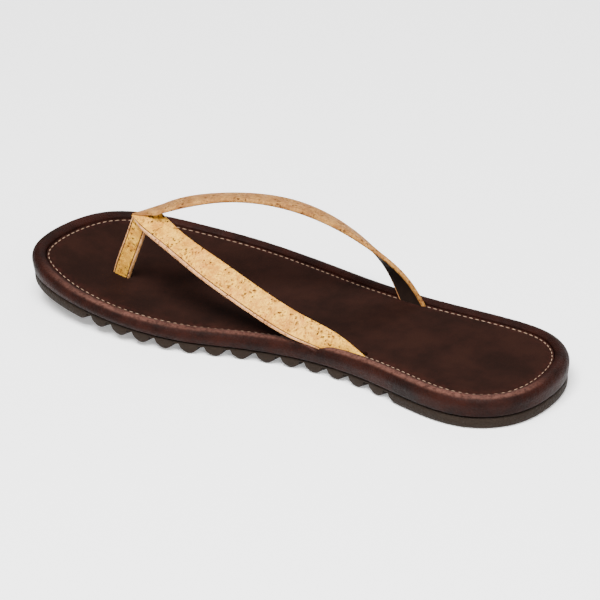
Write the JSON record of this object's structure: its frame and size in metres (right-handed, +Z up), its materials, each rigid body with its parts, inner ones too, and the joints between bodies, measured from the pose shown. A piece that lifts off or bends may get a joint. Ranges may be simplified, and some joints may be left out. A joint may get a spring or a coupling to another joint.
{
  "type": "thong sandal",
  "caption": "Flat thong sandal for the right foot: grooved rubber outsole, wrapped footbed, suede sock and narrow straps of cork cloth that meet above a toe post.",
  "frame": {"origin": "on the floor, below the middle of the sole's own box in length and width", "axes": "+X from heel to toe, +Y to the medial side, which is the wearer's left of this right sandal, +Z up"},
  "size_m": [0.255, 0.0948, 0.0577],
  "materials": {
    "outsole_rubber": "matt dark brown rubber with a fine pebble grain on the pads",
    "wrap_leather": "smooth reddish brown leather with a soft gloss",
    "sock_suede": "very dark brown matt suede",
    "cork_cloth": "pale tan cork cloth with brown flecks, backed with dark brown lining"
  },
  "bodies": {
    "root": {"outsole": "outsole_rubber", "footbed": "wrap_leather", "sock": "sock_suede", "upper": "cork_cloth"}
  },
  "joints": []
}
